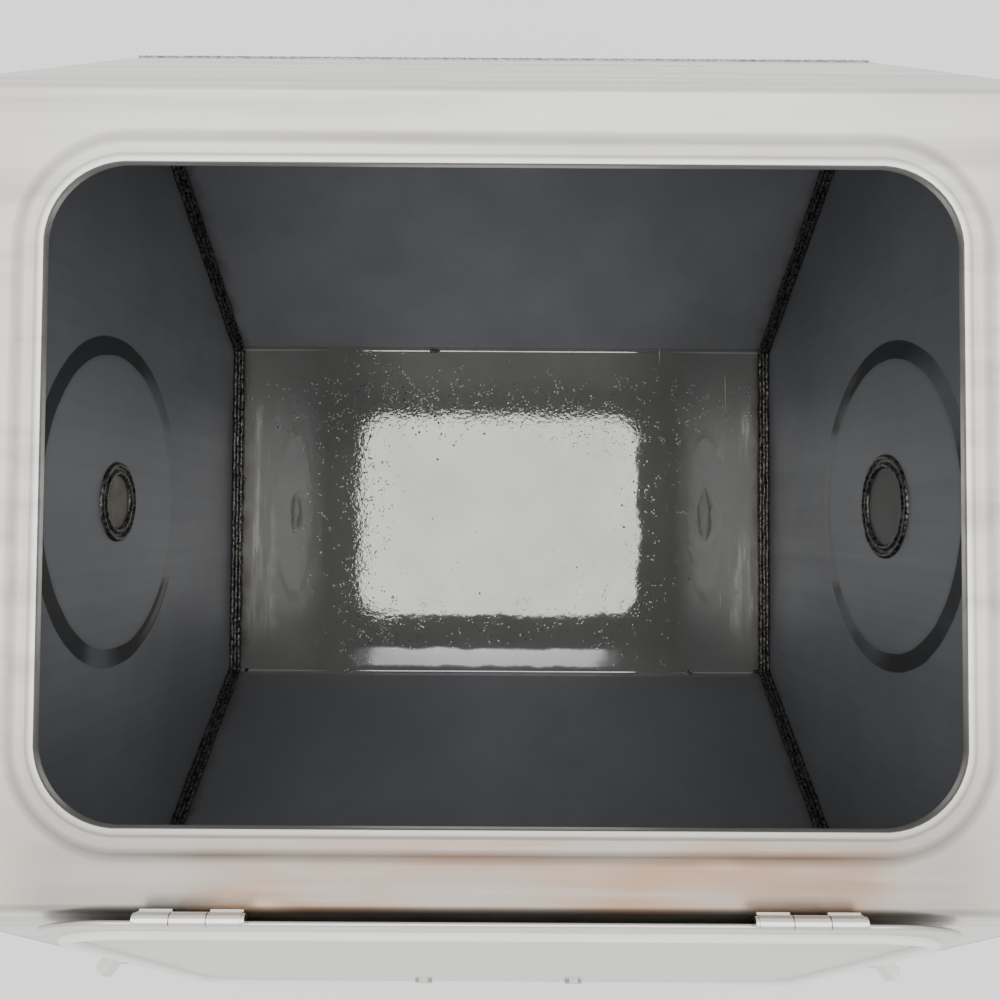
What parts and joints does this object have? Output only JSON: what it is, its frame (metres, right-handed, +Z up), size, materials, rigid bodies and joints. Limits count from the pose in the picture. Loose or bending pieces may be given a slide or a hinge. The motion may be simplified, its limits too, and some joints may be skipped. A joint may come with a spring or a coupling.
{
  "type": "bulk milk tank",
  "caption": "Hexagonal stainless milk vessel with a folded-back gasketed lid, tilting on trunnion bearings in a tube stand with levelling feet, a brake and a handwheel.",
  "frame": {"origin": "on the ground, midway between the four feet, below the middle of the vessel", "axes": "+X along the trunnions towards the handwheel, -Y towards the side the lid folds to, +Z up"},
  "size_m": [0.922, 0.7198, 0.9021],
  "materials": {
    "vessel_steel": "rolled stainless sheet",
    "weld_bead": "dark uncleaned weld",
    "polished_steel": "polished stainless",
    "stand_tube": "satin stainless tube",
    "bearing_steel": "ground",
    "housing_iron": "grey cast",
    "wheel_casting": "turned casting",
    "zinc_fasteners": "plain",
    "black_rubber": "matt",
    "white_gasket": "silicone",
    "black_plastic": "moulded"
  },
  "bodies": {
    "stand": {"leg_front_left": "stand_tube", "leg_front_right": "stand_tube", "leg_back_left": "stand_tube", "leg_back_right": "stand_tube", "side_rail_left": "stand_tube", "side_rail_right": "stand_tube", "cross_rail_front": "stand_tube", "cross_rail_back": "stand_tube", "top_plate_left": "stand_tube", "top_plate_right": "stand_tube", "bearing_housing_left": "housing_iron", "bearing_housing_right": "housing_iron", "bearing_outer_rings": "bearing_steel", "bearing_balls": "bearing_steel", "bearing_bolts": "zinc_fasteners", "leg_caps": "stand_tube", "foot_nuts": "zinc_fasteners", "foot_stems": "zinc_fasteners", "foot_pads": "polished_steel", "foot_rubbers": "black_rubber", "brake_block": "housing_iron", "brake_screw": "zinc_fasteners"},
    "vessel": {"lower_trough": "vessel_steel", "upper_hood": "vessel_steel", "end_plate_left": "vessel_steel", "end_plate_right": "vessel_steel", "corner_weld_left": "weld_bead", "corner_weld_right": "weld_bead", "mouth_land": "vessel_steel", "mouth_lip": "polished_steel", "trunnion_flange_left": "polished_steel", "trunnion_flange_right": "polished_steel", "trunnion_shaft_left": "polished_steel", "trunnion_shaft_right": "polished_steel", "port_weld_left": "weld_bead", "port_weld_right": "weld_bead", "hinge_leaves": "polished_steel", "lid_buffers": "black_rubber", "clamp_catches": "polished_steel", "bearing_inner_rings": "bearing_steel", "lid_hinge_pins": "polished_steel", "handwheel": "wheel_casting", "wheel_key": "zinc_fasteners", "wheel_washer": "zinc_fasteners", "wheel_bolt": "zinc_fasteners", "grip_spindle": "zinc_fasteners"},
    "lid": {"lid_panel": "vessel_steel", "lid_gasket": "white_gasket", "lid_hinge_leaves": "polished_steel", "lid_handle": "polished_steel", "lid_handle_nuts": "zinc_fasteners", "clamp_ears": "polished_steel", "clamp_pins": "polished_steel"},
    "clamp_left": {"clamp_lever_left": "polished_steel"},
    "clamp_right": {"clamp_lever_right": "polished_steel"},
    "crank_grip": {"crank_grip": "black_plastic"},
    "brake_lever": {"brake_lever": "black_plastic"}
  },
  "joints": [
    {"name": "vessel_tilt", "type": "hinge", "parent": "stand", "child": "vessel", "pos_m": [0, 0, 0.7], "axis": [1, 0, 0], "continuous": true},
    {"name": "lid_hinge", "type": "hinge", "parent": "vessel", "child": "lid", "pos_m": [0, -0.17913, 0.89914], "axis": [1, 0, 0], "range_deg": [-239.24, 0]},
    {"name": "clamp_left", "type": "hinge", "parent": "lid", "child": "clamp_left", "pos_m": [-0.215, -0.31814, 0.65356], "axis": [0, -0.5115, -0.8593], "range_deg": [-35, 0]},
    {"name": "clamp_right", "type": "hinge", "parent": "lid", "child": "clamp_right", "pos_m": [0.215, -0.31814, 0.65356], "axis": [0, -0.5115, -0.8593], "range_deg": [0, 35]},
    {"name": "crank_grip_spin", "type": "hinge", "parent": "vessel", "child": "crank_grip", "pos_m": [0.357, 0, 0.88], "axis": [1, 0, 0], "continuous": true},
    {"name": "brake_lever_turn", "type": "hinge", "parent": "stand", "child": "brake_lever", "pos_m": [-0.339, -0.03, 0.729], "axis": [0, -1, 0], "range_deg": [-90, 0]}
  ]
}
